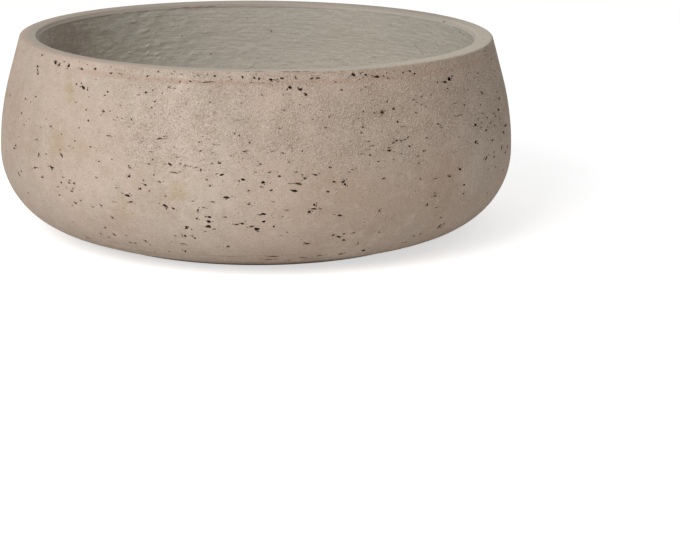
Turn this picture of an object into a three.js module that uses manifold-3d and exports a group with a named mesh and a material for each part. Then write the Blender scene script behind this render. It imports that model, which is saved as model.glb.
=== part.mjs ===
// A round bowl planter of hand-laid fibre cement: the cast shell with its flat lip, the waterproof
// coat trowelled over the inside, and the rubber plug that closes the drain hole and lifts out.
// Millimetres, +Z up, with the origin at the middle of the underside.

import * as THREE from "three";
import { mergeVertices } from "three/addons/utils/BufferGeometryUtils.js";
import Module from "manifold-3d";

// Outer form of the shell
const BOWL_HEIGHT = 134;
const BELLY_RADIUS = 177.5; // the widest place
const BELLY_HEIGHT = 56;
const MOUTH_RADIUS = 162.5; // outer edge of the lip
const BASE_RADIUS = 122; // outer edge of the face that it stands on
const FLANK_LENGTH = 30; // straight run of the section below the lip
const UNDERSIDE_LENGTH = 21; // straight run of the section above the base
const BASE_EDGE_ROUND = 2;
const LIP_OUTER_ROUND = 2.4;
const LIP_INNER_ROUND = 1.5;

// Walls of the shell
const WALL = 11.5;
const FLOOR = 14;
const RECESS_RADIUS = 98; // shallow dish under the floor, so that the bowl stands on a ring
const RECESS_DEPTH = 3;
const RECESS_SLOPE = 4; // run of the dish's sloping side
const DRAIN_RADIUS = 11;
const DRAIN_CHAMFER = 1.2;

// Waterproof coat on the inside
const COAT = 1.5;
const COAT_SEAM = 0.3; // gap between the coat and the shell
const COAT_TOP_DROP = 1.4; // from the lip's face down to the coat's upper edge

// Drain plug
const PLUG_PLAY = 0.3; // between the plug and the hole, and between its head and the coat
const PLUG_TAPER = 0.8; // by which the shank's radius shrinks from the head to the tip
const PLUG_TIP_HEIGHT = 1.5; // of the shank's end above the base's plane
const PLUG_TIP_CHAMFER = 1;
const PLUG_HEAD_RADIUS = 17;
const PLUG_HEAD_EDGE = 1.8; // thickness of the head at its rim
const PLUG_HEAD_CROWN = 3.2; // thickness of the head at its middle
const BEAD_COUNT = 2; // sealing beads round the shank
const BEAD_PITCH = 4;
const BEAD_PROUD = 0.6;
const BEAD_WIDTH = 1.6;
const TAB_WIDTH = 15;
const TAB_HEIGHT = 9; // above the head's middle
const TAB_THICKNESS = 4;

// Facets
const BOWL_FACETS = 80;
const PLUG_FACETS = 40;
const WIDE_BEND_STEPS = 3;
const TIGHT_BEND_STEPS = 8;
const EDGE_STEPS = 3;

const point = (radius, height) => new THREE.Vector2(radius, height);

// Points along an arc of the section, from one angle to another, both ends included.
function bend(centre, radius, from, to, steps) {
  const points = [];
  for (let i = 0; i <= steps; i++) {
    const angle = from + ((to - from) * i) / steps;
    points.push(
      point(centre.x + radius * Math.cos(angle), centre.y + radius * Math.sin(angle)),
    );
  }
  return points;
}

// The arc that leaves the belly upright and runs smoothly into a straight stretch of a given
// length, which ends at a given edge. Both tangents to the arc from where they meet are alike.
function bellyBend(edge, straight) {
  const rise = Math.abs(edge.y - BELLY_HEIGHT);
  const inward = BELLY_RADIUS - edge.x;
  const tangent = (rise ** 2 + inward ** 2 - straight ** 2) / (2 * (rise + straight));
  const angle = Math.atan2(inward, rise - tangent);
  const radius = tangent / Math.tan(angle / 2);
  return { centre: point(BELLY_RADIUS - radius, BELLY_HEIGHT), radius, angle };
}

// The corner b of the path a, b, c, rounded by an arc.
function roundedCorner(a, b, c, radius) {
  const back = a.clone().sub(b).normalize();
  const onward = c.clone().sub(b).normalize();
  const half = Math.acos(back.dot(onward)) / 2;
  const inward = back.clone().add(onward).normalize();
  const centre = b.clone().addScaledVector(inward, radius / Math.sin(half));
  const start = b.clone().addScaledVector(back, radius / Math.tan(half)).sub(centre);
  const end = b.clone().addScaledVector(onward, radius / Math.tan(half)).sub(centre);
  const from = start.angle();
  let to = end.angle();
  if (to - from > Math.PI) to -= 2 * Math.PI;
  if (from - to > Math.PI) to += 2 * Math.PI;
  return bend(centre, radius, from, to, EDGE_STEPS);
}

// A section turned about +Z; it runs up the outside and down the inside.
function turned(section, facets) {
  return new THREE.LatheGeometry(section, facets).rotateX(Math.PI / 2);
}

// Above the belly one wide arc runs into a straight flank that leans in to the lip.
const lipOuterEdge = point(MOUTH_RADIUS, BOWL_HEIGHT);
const upper = bellyBend(lipOuterEdge, FLANK_LENGTH);

// Below the belly a tighter arc runs into a straight underside that drops to the base.
const baseEdge = point(BASE_RADIUS, 0);
const lower = bellyBend(baseEdge, UNDERSIDE_LENGTH);

// The straight flank at a height, a given depth in from the outer face.
function flankAt(height, depth) {
  const lean = (BOWL_HEIGHT - height) * Math.tan(upper.angle);
  return point(MOUTH_RADIUS - depth / Math.cos(upper.angle) + lean, height);
}

// The height of the floor's upper face, a given depth in from the outer face of the wall.
const floorHeight = (depth) => FLOOR + depth - WALL;

// Down the inside of the wall and round on to the floor, a given depth in from the outer face.
function insideWall(depth) {
  const cornerRadius = BELLY_HEIGHT - floorHeight(depth);
  const cornerCentre = point(BELLY_RADIUS - depth - cornerRadius, BELLY_HEIGHT);
  return [
    ...bend(upper.centre, upper.radius - depth, upper.angle, 0, WIDE_BEND_STEPS),
    ...bend(cornerCentre, cornerRadius, 0, -Math.PI / 2, TIGHT_BEND_STEPS).slice(1),
  ];
}

// Shell: one closed section, from the drain hole out along the underside, up the outside,
// over the lip, down the inside and back across the floor to the hole.
function bowlShell() {
  const lipInnerEdge = flankAt(BOWL_HEIGHT, WALL);
  const dishEdge = point(RECESS_RADIUS, 0);
  const outside = [
    ...bend(lower.centre, lower.radius, -lower.angle, 0, TIGHT_BEND_STEPS),
    ...bend(upper.centre, upper.radius, 0, upper.angle, WIDE_BEND_STEPS).slice(1),
  ];
  const inside = insideWall(WALL);
  const section = [
    point(DRAIN_RADIUS, RECESS_DEPTH + DRAIN_CHAMFER),
    point(DRAIN_RADIUS + DRAIN_CHAMFER, RECESS_DEPTH),
    point(RECESS_RADIUS - RECESS_SLOPE, RECESS_DEPTH),
    dishEdge,
    ...roundedCorner(dishEdge, baseEdge, outside[0], BASE_EDGE_ROUND),
    ...outside,
    ...roundedCorner(outside.at(-1), lipOuterEdge, lipInnerEdge, LIP_OUTER_ROUND),
    ...roundedCorner(lipOuterEdge, lipInnerEdge, inside[0], LIP_INNER_ROUND),
    ...inside,
    point(DRAIN_RADIUS + DRAIN_CHAMFER, FLOOR),
    point(DRAIN_RADIUS, FLOOR - DRAIN_CHAMFER),
    point(DRAIN_RADIUS, RECESS_DEPTH + DRAIN_CHAMFER),
  ];
  return turned(section, BOWL_FACETS);
}

// Coat: an even skin over the floor and the wall, feathered off just under the lip, with the
// drain hole left open in it.
function sealingCoat() {
  const outerDepth = WALL + COAT_SEAM;
  const innerDepth = outerDepth + COAT;
  const topHeight = BOWL_HEIGHT - COAT_TOP_DROP;
  const outerFace = insideWall(outerDepth).reverse();
  const holeRadius = DRAIN_RADIUS + DRAIN_CHAMFER;
  const section = [
    point(holeRadius, floorHeight(outerDepth)),
    ...outerFace,
    flankAt(topHeight, outerDepth),
    flankAt(topHeight - COAT, innerDepth),
    ...insideWall(innerDepth),
    point(holeRadius, floorHeight(innerDepth)),
    point(holeRadius, floorHeight(outerDepth)),
  ];
  return turned(section, BOWL_FACETS);
}

// A closed geometry as a solid for joining, and back.
const wasm = await Module();
wasm.setup();

function solidOf(geometry) {
  const bare = geometry.index ? geometry.toNonIndexed() : geometry.clone();
  bare.deleteAttribute("normal");
  bare.deleteAttribute("uv");
  const merged = mergeVertices(bare);
  return new wasm.Manifold(
    new wasm.Mesh({
      numProp: 3,
      vertProperties: merged.attributes.position.array,
      triVerts: new Uint32Array(merged.index.array),
    }),
  );
}

function geometryOf(solid) {
  const mesh = solid.getMesh();
  const geometry = new THREE.BufferGeometry();
  geometry.setAttribute("position", new THREE.BufferAttribute(mesh.vertProperties, 3));
  geometry.setIndex(new THREE.BufferAttribute(mesh.triVerts, 1));
  geometry.computeVertexNormals();
  return geometry;
}

// Plug: a tapered shank with sealing beads, a domed head that covers the hole's edge, and an
// upright tab to pull it by, all moulded in one.
function drainPlug() {
  const seat = floorHeight(WALL + COAT_SEAM + COAT) + PLUG_PLAY;
  const crown = seat + PLUG_HEAD_CROWN;
  const neckRadius = DRAIN_RADIUS - PLUG_PLAY - BEAD_PROUD;
  const shankRadiusAt = (height) =>
    neckRadius - (PLUG_TAPER * (seat - height)) / (seat - PLUG_TIP_HEIGHT);

  const shank = [
    point(0, PLUG_TIP_HEIGHT),
    point(shankRadiusAt(PLUG_TIP_HEIGHT) - PLUG_TIP_CHAMFER, PLUG_TIP_HEIGHT),
    point(
      shankRadiusAt(PLUG_TIP_HEIGHT + PLUG_TIP_CHAMFER),
      PLUG_TIP_HEIGHT + PLUG_TIP_CHAMFER,
    ),
  ];
  const lowestBead = FLOOR - DRAIN_CHAMFER - BEAD_WIDTH - (BEAD_COUNT - 1) * BEAD_PITCH;
  for (let i = 0; i < BEAD_COUNT; i++) {
    const foot = lowestBead + i * BEAD_PITCH;
    const middle = foot + BEAD_WIDTH / 2;
    const top = foot + BEAD_WIDTH;
    shank.push(
      point(shankRadiusAt(foot), foot),
      point(shankRadiusAt(middle) + BEAD_PROUD, middle),
      point(shankRadiusAt(top), top),
    );
  }

  const crownDrop = PLUG_HEAD_CROWN - PLUG_HEAD_EDGE;
  const domeRadius = (PLUG_HEAD_RADIUS ** 2 + crownDrop ** 2) / (2 * crownDrop);
  const domeHalfAngle = Math.asin(PLUG_HEAD_RADIUS / domeRadius);
  const head = [
    point(neckRadius, seat),
    point(PLUG_HEAD_RADIUS, seat),
    ...bend(
      point(0, crown - domeRadius),
      domeRadius,
      Math.PI / 2 - domeHalfAngle,
      Math.PI / 2,
      TIGHT_BEND_STEPS / 2,
    ),
  ];
  head.at(-1).x = 0;

  const corner = TAB_WIDTH / 2;
  const tabFoot = seat + PLUG_HEAD_EDGE / 2;
  const tabShoulder = crown + TAB_HEIGHT - corner;
  const outline = new THREE.Shape()
    .moveTo(-corner, tabFoot)
    .lineTo(corner, tabFoot)
    .lineTo(corner, tabShoulder)
    .absarc(0, tabShoulder, corner, 0, Math.PI, false)
    .lineTo(-corner, tabFoot);
  const tab = new THREE.ExtrudeGeometry(outline, {
    depth: TAB_THICKNESS,
    bevelEnabled: false,
    curveSegments: TIGHT_BEND_STEPS,
  })
    .translate(0, 0, -TAB_THICKNESS / 2)
    .rotateX(Math.PI / 2);

  const body = turned([...shank, ...head], PLUG_FACETS);
  return geometryOf(solidOf(body).add(solidOf(tab)));
}

const fibreCement = new THREE.MeshStandardMaterial({
  color: 0xc2b2a2,
  roughness: 0.9,
  metalness: 0,
});
const cementSlurry = new THREE.MeshStandardMaterial({
  color: 0xbeb5aa,
  roughness: 0.8,
  metalness: 0,
});
const blackRubber = new THREE.MeshStandardMaterial({
  color: 0x1d1d1c,
  roughness: 0.6,
  metalness: 0,
});

function named(name, geometry, material) {
  const mesh = new THREE.Mesh(geometry, material);
  mesh.name = name;
  return mesh;
}

const planter = new THREE.Group();
planter.name = "bowl_planter";
planter.add(named("bowl_shell", bowlShell(), fibreCement));
planter.add(named("sealing_coat", sealingCoat(), cementSlurry));
planter.add(named("drain_plug", drainPlug(), blackRubber));

export default planter;
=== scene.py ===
import math

import bpy
import numpy as np
from mathutils import Matrix, Vector


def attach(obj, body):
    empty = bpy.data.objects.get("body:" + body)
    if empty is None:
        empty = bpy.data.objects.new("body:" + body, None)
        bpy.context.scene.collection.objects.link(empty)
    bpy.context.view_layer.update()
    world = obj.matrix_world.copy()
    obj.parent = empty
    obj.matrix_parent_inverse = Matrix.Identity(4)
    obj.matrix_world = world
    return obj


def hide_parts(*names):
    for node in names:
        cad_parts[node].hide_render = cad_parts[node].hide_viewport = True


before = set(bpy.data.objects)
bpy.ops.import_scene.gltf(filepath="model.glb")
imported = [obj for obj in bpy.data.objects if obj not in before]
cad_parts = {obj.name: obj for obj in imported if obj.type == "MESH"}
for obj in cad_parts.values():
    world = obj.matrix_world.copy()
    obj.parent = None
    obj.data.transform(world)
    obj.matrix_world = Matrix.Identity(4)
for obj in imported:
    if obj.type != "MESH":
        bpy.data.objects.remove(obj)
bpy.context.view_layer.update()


# Camera: a long lens a little above the bowl. It looks past the bowl to the lower right, so that
# the bowl stands in the upper left of the picture.
CAMERA_DISTANCE = 1.45  # from the middle of the bowl
CAMERA_MIDDLE_HEIGHT = 0.067
CAMERA_ELEVATION = math.radians(11.22)
CAMERA_YAW = math.radians(-2.374)
CAMERA_PITCH = math.radians(-15.415)
CAMERA_ROLL = math.radians(0.577)
CAMERA_LENS = 109.36  # millimetres, on a sensor 36 mm wide
CAMERA_SENSOR = 36.0
PICTURE_WIDTH = 680
PICTURE_HEIGHT = 559
CAMERA_CLIP = 0.05  # nothing nearer is drawn


def placed(name, data):
    """A new object in the scene."""
    made = bpy.data.objects.new(name, data)
    bpy.context.scene.collection.objects.link(made)
    return made


camera_turn = (
    Matrix.Rotation(CAMERA_YAW, 3, "Z")
    @ Matrix.Rotation(math.pi / 2 + CAMERA_PITCH, 3, "X")
    @ Matrix.Rotation(CAMERA_ROLL, 3, "Z")
)
camera_place = Vector((
    0.0,
    -CAMERA_DISTANCE * math.cos(CAMERA_ELEVATION),
    CAMERA_MIDDLE_HEIGHT + CAMERA_DISTANCE * math.sin(CAMERA_ELEVATION),
))
lens = bpy.data.cameras.new("camera")
lens.lens = CAMERA_LENS
lens.sensor_width = CAMERA_SENSOR
lens.sensor_fit = "HORIZONTAL"
lens.clip_start = CAMERA_CLIP
camera = placed("camera", lens)
camera.location = camera_place
camera.rotation_euler = camera_turn.to_euler()
bpy.context.scene.camera = camera


def aim(x, y):
    """The direction from the camera through a place in the picture, given in its pixels."""
    pixels_per_mm = PICTURE_WIDTH / CAMERA_SENSOR
    across = (x - PICTURE_WIDTH / 2) / pixels_per_mm
    up = (PICTURE_HEIGHT / 2 - y) / pixels_per_mm
    return (camera_turn @ Vector((across, up, -CAMERA_LENS))).normalized()


# Shell: one cast of fibre cement, laid by hand in a turned mould about 11 mm thick. The face is
# washed after it sets, which opens the air pits in it. The pits are dirt brown, with painted shade
# deeper in.
BOWL_HEIGHT = 0.134
BELLY_RADIUS = 0.1775  # the widest place
BELLY_HEIGHT = 0.056
MOUTH_RADIUS = 0.1625  # outer edge of the lip
BASE_RADIUS = 0.122  # outer edge of the face that it stands on
FLANK_LENGTH = 0.030  # straight run of the section below the lip
UNDERSIDE_LENGTH = 0.021  # straight run of the section above the base
BASE_EDGE_ROUND = 0.002
LIP_OUTER_ROUND = 0.0024
LIP_INNER_ROUND = 0.0015
WALL = 0.0115
FLOOR = 0.014
RECESS_RADIUS = 0.098  # shallow dish under the floor
RECESS_DEPTH = 0.003
RECESS_SLOPE = 0.004
DRAIN_RADIUS = 0.011
DRAIN_CHAMFER = 0.0012

SHELL_FACETS = 300
SHELL_STEP = 0.0036  # between rows on the outside
HIDDEN_STEP = 0.02  # between rows where the coat hides the shell
PIT_CLEARANCE = 0.0035  # round a pit that stands out, kept free of scattered ones
DIRT_AND_SHADE_FROM = 0.00006  # how far below the face the pit colour, dirt and painted shade, starts
JOIN_MARGIN = 0.0022  # beside the joins of the texture map, kept free of scattered pits

SHELL_SIZES = {
    "Facets": SHELL_FACETS,
    "Relief depth": 0.00035,
    "Relief waves": 38.0,  # to a metre
    "Pit spacing": 0.0028,
    "Pits to a square metre": 15000.0,
    "Pit clusters": 26.0,  # to a metre
    "Shortest pit": 0.0009,
    "Longest pit": 0.0030,
    "Crumbs round a pit": 3,
    "Seed": 7,
}

# The pits that stand out, by where they are. Each is its place in the picture, x and y in pixels,
# then its length and height in mm and, unless it lies level, its rise to the right in degrees.
PITS = [
    # lip left end
    (41.9, 55.2, 1.6, 1.2), (37.3, 66.1, 1.3, 1.9), (37.5, 70.0, 1.1, 2.0), (37.9, 73.5, 1.4, 1.7),
    (55.7, 62.6, 2.6, 2.6), (59.1, 64.9, 1.9, 1.8), (64.3, 61.5, 1.4, 1.0), (68.7, 65.8, 2.3, 2.0),
    (67.2, 68.4, 1.4, 1.0),
    # under lip left
    (82.1, 68.9, 2.7, 1.4), (95.3, 68.9, 2.0, 1.6), (110.8, 73.3, 2.4, 1.3),
    (120.0, 73.8, 2.0, 0.9), (147.5, 75.8, 1.7, 1.3), (158.2, 71.8, 1.7, 1.3),
    (172.2, 73.9, 1.4, 0.9), (76.7, 84.1, 1.7, 1.3), (83.2, 87.3, 3.4, 2.3, -30),
    (81.5, 83.3, 1.0, 1.4),
    # left flank
    (10.1, 95.1, 1.0, 1.4), (25.5, 98.8, 1.3, 1.3), (35.8, 96.7, 1.3, 1.1), (21.8, 113.1, 1.5, 1.4),
    (85.9, 109.9, 1.2, 1.2), (103.3, 111.4, 2.0, 1.4), (110.2, 111.2, 1.0, 1.0),
    (145.8, 92.5, 1.7, 1.7), (168.8, 87.3, 1.7, 1.0), (131.5, 119.5, 1.3, 1.2),
    (50.9, 126.3, 1.5, 1.4), (40.8, 127.3, 1.0, 1.0), (154.8, 101.4, 1.3, 1.3),
    (129.2, 127.1, 1.0, 1.0),
    # left belly
    (108.8, 135.8, 3.7, 0.9), (159.6, 138.6, 4.2, 1.2, 20), (164.5, 136.2, 2.4, 0.8, 20),
    (36.7, 139.6, 2.0, 1.1), (15.5, 145.3, 1.3, 1.7), (14.4, 148.2, 2.0, 1.3),
    (39.0, 153.9, 1.4, 2.0), (38.5, 156.5, 1.4, 1.0), (45.9, 153.9, 1.7, 1.0),
    (62.0, 155.6, 2.4, 1.7, -45), (98.7, 161.4, 2.0, 1.0, 20), (111.9, 159.4, 1.3, 1.0),
    (177.0, 157.0, 1.7, 1.0), (149.3, 164.2, 1.7, 1.1), (169.9, 164.2, 3.4, 1.6, -30),
    (174.0, 172.6, 6.8, 1.0, -3), (35.0, 167.7, 2.4, 1.6), (51.3, 167.3, 3.2, 1.8, -20),
    (128.6, 165.7, 1.0, 1.3), (130.1, 168.0, 1.4, 1.2), (18.9, 174.0, 2.4, 1.4, -30),
    (42.2, 177.2, 2.0, 1.3), (129.2, 176.1, 2.7, 1.7), (153.8, 175.1, 1.2, 1.2),
    (160.2, 182.0, 2.7, 1.0), (97.0, 177.7, 1.7, 0.9),
    # left belly low
    (69.5, 180.3, 1.7, 1.0), (68.9, 182.9, 1.7, 1.3), (74.0, 183.2, 2.0, 1.3),
    (143.3, 180.3, 1.2, 1.2), (145.8, 184.9, 2.4, 1.4), (149.3, 191.0, 1.2, 1.0),
    (140.1, 188.7, 2.0, 1.6), (116.5, 187.8, 2.0, 1.0), (72.9, 188.7, 1.3, 1.3),
    (72.0, 191.4, 1.7, 1.4), (128.0, 195.5, 4.6, 1.8, -5), (28.1, 192.9, 1.3, 1.3),
    (75.5, 203.0, 2.4, 1.4, -40), (80.8, 200.7, 1.0, 1.0), (101.2, 205.3, 2.0, 1.3, -20),
    (112.4, 217.7, 2.0, 1.4), (105.5, 227.6, 2.0, 0.9), (114.1, 234.5, 2.0, 1.3),
    (108.4, 237.2, 1.7, 1.0), (100.9, 234.0, 1.3, 1.3), (130.8, 201.8, 3.1, 1.4),
    (165.2, 205.8, 4.1, 1.7, -25), (173.8, 208.4, 2.4, 1.4), (166.4, 208.7, 1.3, 1.3),
    (145.5, 240.9, 1.7, 1.3), (130.8, 242.6, 2.0, 1.0),
    # left of middle low
    (198.0, 210.1, 1.4, 2.2), (196.8, 218.7, 2.0, 1.4), (187.1, 227.6, 3.0, 2.0, -45),
    (185.3, 236.0, 2.4, 1.4), (192.2, 235.9, 1.7, 1.0), (194.9, 238.2, 2.0, 1.3),
    (185.3, 251.2, 1.7, 1.7), (209.3, 217.2, 3.2, 1.6), (209.1, 221.5, 3.4, 2.0),
    (208.7, 226.6, 4.8, 1.8, 10), (205.5, 231.5, 2.0, 0.8), (203.9, 207.7, 2.7, 0.9),
    (212.5, 201.7, 3.2, 1.0), (225.6, 217.2, 2.7, 1.0), (227.2, 197.4, 5.4, 1.7),
    (210.2, 185.7, 1.7, 1.3), (206.5, 179.4, 2.0, 1.0), (228.3, 246.5, 2.7, 1.3, -20),
    # under lip middle
    (181.6, 74.4, 1.3, 0.9), (198.2, 75.3, 2.0, 0.9), (194.2, 76.4, 1.0, 1.0),
    (214.9, 76.1, 2.0, 1.4), (229.2, 77.0, 1.7, 1.0), (231.3, 79.3, 1.4, 0.9),
    (207.4, 82.0, 9.0, 1.1, 5), (242.4, 76.9, 1.7, 1.6), (254.5, 77.8, 1.7, 1.7),
    (259.1, 78.7, 1.6, 1.6), (251.0, 82.4, 2.0, 0.8), (271.1, 79.7, 2.8, 2.0),
    (275.7, 80.1, 1.0, 1.0), (282.0, 78.4, 3.1, 1.5), (278.0, 81.2, 1.0, 1.0),
    (295.8, 77.6, 1.4, 1.4), (311.9, 78.4, 2.7, 1.4, 15), (318.2, 78.0, 3.4, 1.4),
    # thin dark line along lip
    (247.5, 71.3, 4.5, 0.6), (258.5, 71.4, 7.0, 0.6), (287.0, 71.6, 9.0, 0.6),
    (296.5, 71.7, 8.0, 0.6), (306.0, 71.6, 6.0, 0.6),
    # middle flank
    (290.1, 87.6, 3.0, 2.3), (298.1, 87.6, 1.4, 1.0), (300.2, 89.5, 3.8, 1.7),
    (306.1, 94.4, 3.2, 1.7, -30), (180.2, 81.6, 1.2, 1.2), (169.3, 87.0, 1.7, 0.8),
    (174.7, 88.1, 1.7, 0.8), (210.3, 102.1, 2.0, 1.0), (261.9, 95.0, 1.4, 1.1),
    (283.2, 95.0, 1.0, 1.0), (284.1, 110.3, 2.0, 1.0), (241.3, 103.0, 1.0, 1.0),
    (313.0, 119.4, 1.4, 0.9), (329.1, 116.8, 1.3, 1.3), (325.7, 127.7, 2.7, 0.9),
    # middle belly
    (235.0, 133.5, 1.5, 1.2), (239.3, 135.5, 1.2, 1.2), (199.0, 142.1, 1.7, 1.0),
    (202.8, 136.6, 1.0, 1.0), (200.5, 150.7, 1.3, 1.3), (244.7, 151.6, 3.6, 1.1),
    (249.9, 142.7, 1.3, 1.3), (279.7, 128.3, 2.0, 1.0, 30), (272.8, 151.3, 2.0, 0.8),
    (283.2, 153.3, 2.0, 1.0), (302.5, 150.7, 1.3, 1.3), (219.5, 163.1, 2.7, 1.4),
    (212.3, 163.7, 2.0, 0.9), (200.9, 169.9, 1.7, 1.4), (195.9, 167.3, 2.7, 0.8),
    (221.8, 174.8, 3.4, 1.7, 20), (260.4, 163.9, 1.7, 1.3), (255.6, 172.3, 2.0, 0.9),
    (269.7, 172.3, 2.0, 1.1), (289.1, 162.4, 2.0, 0.9), (296.4, 171.9, 2.7, 0.9),
    (243.2, 179.6, 3.2, 1.8), (238.0, 120.0, 5.0, 0.5), (217.0, 145.0, 5.0, 0.5),
    # middle belly low
    (263.5, 182.1, 3.1, 2.1, 25), (261.1, 186.8, 2.0, 1.0), (271.1, 190.3, 2.4, 1.4, 10),
    (248.9, 190.6, 1.7, 1.2), (315.7, 174.8, 3.4, 1.4, -15), (305.0, 178.3, 2.9, 1.4),
    (302.7, 174.8, 1.1, 1.1), (298.8, 183.9, 6.0, 1.4, -10), (294.4, 190.8, 4.7, 1.8, -8),
    (273.3, 201.8, 1.7, 0.9), (287.4, 209.9, 3.2, 0.8), (314.2, 204.9, 2.0, 1.8),
    (314.5, 208.7, 5.0, 1.3), (309.4, 212.0, 2.7, 1.7), (248.9, 204.2, 2.7, 1.3),
    (263.5, 214.1, 4.2, 1.8), (236.9, 224.4, 3.6, 1.3), (242.4, 223.7, 2.4, 1.6),
    (252.1, 226.4, 3.1, 1.3), (256.8, 229.1, 3.4, 2.4, 60), (273.8, 226.4, 1.4, 1.7),
    (340.0, 215.6, 3.7, 1.4), (306.9, 243.5, 4.0, 1.3, -15), (333.5, 235.1, 2.7, 1.1, 30),
    (338.9, 236.7, 3.4, 1.3, -20), (343.8, 240.0, 2.7, 1.3), (343.8, 234.0, 2.0, 1.1),
    (334.1, 181.8, 2.4, 1.4), (343.5, 181.5, 3.2, 1.7, 30), (345.0, 184.5, 1.7, 2.2, 20),
    # streaks above base
    (274.4, 256.4, 8.0, 0.9), (268.9, 259.8, 6.6, 0.8), (289.5, 260.0, 3.4, 0.8),
    (303.6, 257.3, 6.6, 0.8), (319.4, 255.7, 5.2, 0.8), (340.5, 254.1, 3.6, 1.1, 20),
    (183.3, 243.8, 5.2, 0.7),
    # under lip right
    (353.7, 74.9, 3.8, 1.8, -20), (360.8, 73.2, 1.3, 1.3), (365.9, 74.9, 2.2, 1.7),
    (363.1, 77.5, 1.4, 1.0), (359.8, 79.6, 1.0, 1.0), (377.5, 76.5, 4.3, 1.8),
    (383.7, 75.9, 1.1, 1.1), (386.7, 73.1, 1.1, 1.1), (388.0, 78.1, 1.3, 1.3),
    (403.0, 72.5, 1.4, 1.4), (410.0, 71.3, 1.6, 1.6), (414.9, 73.5, 2.0, 1.4),
    (449.4, 79.0, 2.9, 2.5), (444.9, 82.0, 2.1, 2.0), (447.6, 88.4, 1.3, 1.3),
    (437.5, 82.3, 1.3, 1.3),
    # right flank
    (365.3, 87.2, 2.7, 0.8), (382.4, 112.0, 2.5, 2.0), (374.5, 113.0, 2.0, 1.0),
    (363.5, 111.2, 1.3, 1.3), (362.9, 127.1, 1.7, 1.4), (361.6, 132.5, 1.3, 1.3),
    (421.6, 96.5, 1.7, 1.1), (413.7, 99.4, 2.7, 0.9, 20), (387.3, 101.6, 1.3, 1.3),
    (459.0, 115.7, 6.4, 0.8), (438.2, 123.9, 1.6, 1.6), (441.2, 127.1, 1.1, 1.1),
    (475.5, 124.9, 2.2, 2.2), (486.5, 129.8, 1.7, 1.4), (482.3, 93.0, 2.2, 1.4, -45),
    (499.4, 98.8, 1.6, 1.6), (498.2, 109.6, 1.6, 2.0), (493.9, 113.3, 1.3, 1.3),
    # worm track
    (392.9, 142.9, 2.2, 1.1, 20), (397.0, 140.2, 2.8, 1.4, 20), (401.0, 140.6, 2.0, 1.0),
    (404.5, 139.5, 2.0, 1.0, 15), (408.0, 137.4, 2.2, 1.1, 30),
    # right belly
    (389.2, 147.6, 2.7, 0.9), (389.2, 150.6, 3.6, 1.6), (409.8, 146.3, 1.7, 1.6),
    (369.0, 141.4, 2.7, 0.8), (426.8, 137.5, 1.3, 1.3), (423.8, 151.0, 1.7, 1.4),
    (418.6, 155.8, 2.7, 0.8), (418.9, 163.2, 1.3, 1.3), (370.2, 154.9, 1.7, 1.4),
    (361.6, 154.0, 2.0, 0.8), (505.5, 125.5, 2.4, 2.3), (503.7, 132.2, 1.6, 2.3),
    (475.9, 141.8, 2.0, 2.3), (492.4, 140.4, 1.6, 1.6), (501.8, 146.6, 2.6, 1.9, 45),
    (507.3, 146.3, 1.3, 2.0), (505.5, 152.4, 1.3, 2.0), (486.3, 158.0, 2.5, 1.9, 40),
    (493.9, 156.7, 1.3, 1.3), (460.0, 169.3, 2.2, 2.0), (449.8, 176.3, 2.4, 1.3, -15),
    (352.4, 169.8, 2.7, 0.8), (349.4, 172.0, 2.0, 0.8), (384.0, 178.5, 2.0, 1.4),
    (420.4, 178.9, 1.3, 1.3), (435.1, 196.0, 2.7, 1.2), (435.1, 192.8, 1.7, 0.8),
    (427.3, 204.8, 1.7, 1.6), (379.3, 210.6, 1.8, 1.4, 45), (436.2, 207.7, 2.0, 0.9),
    (439.1, 226.3, 3.4, 2.0, 50), (413.8, 235.9, 1.3, 1.3), (364.2, 250.3, 2.7, 1.4),
    (357.9, 243.7, 1.3, 1.3), (353.6, 232.7, 2.7, 1.0), (463.5, 193.8, 1.3, 1.3),
    # fine ones right
    (480.6, 104.8, 1.0, 1.2), (494.8, 76.7, 0.9, 1.2), (497.3, 91.7, 1.0, 1.2),
    (483.1, 113.5, 1.0, 1.0), (487.3, 117.6, 1.1, 1.2), (495.6, 116.4, 1.0, 1.3),
    (478.1, 118.5, 1.1, 1.0), (481.4, 122.2, 1.0, 1.2), (490.6, 122.7, 1.2, 1.3),
    (494.8, 125.6, 1.0, 1.2), (481.4, 127.6, 1.1, 1.0), (499.8, 118.5, 1.0, 1.4),
    (493.9, 152.0, 1.1, 1.2), (495.6, 166.9, 1.0, 1.2), (503.1, 170.3, 1.0, 1.4),
    (488.1, 169.4, 0.9, 1.0), (431.3, 95.1, 1.0, 1.0), (417.1, 102.2, 1.2, 0.8, 15),
    (421.3, 104.4, 1.2, 0.8, 15), (425.4, 106.8, 1.3, 0.8), (414.6, 105.6, 1.0, 0.8),
    (458.9, 136.9, 1.0, 1.0), (435.5, 178.6, 2.6, 0.9), (372.8, 145.7, 3.0, 0.8),
    (353.6, 122.7, 1.0, 0.8, 20), (358.6, 118.5, 1.2, 0.8, 20), (382.0, 131.0, 1.0, 0.9),
    (393.7, 159.4, 1.0, 0.9), (401.2, 153.6, 0.9, 1.2), (372.8, 100.1, 2.2, 0.7),
    (455.0, 103.4, 5.0, 0.6), (402.0, 126.8, 2.6, 0.7),
    # fine ones left
    (75.8, 102.3, 1.6, 0.9), (101.3, 115.0, 1.2, 0.9), (117.2, 117.4, 1.0, 0.8),
    (114.0, 119.8, 1.2, 0.8), (138.8, 94.8, 2.0, 1.0), (185.8, 103.9, 1.4, 0.7),
    (180.2, 116.4, 1.2, 0.8), (28.7, 119.0, 0.9, 0.9), (46.3, 119.0, 0.9, 0.9),
    (19.1, 136.6, 1.0, 0.8), (69.0, 146.4, 1.0, 0.8), (73.4, 148.0, 0.9, 0.8),
    (89.3, 96.7, 0.9, 0.9), (120.4, 105.5, 1.4, 0.7), (134.0, 123.8, 0.9, 0.9),
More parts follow.
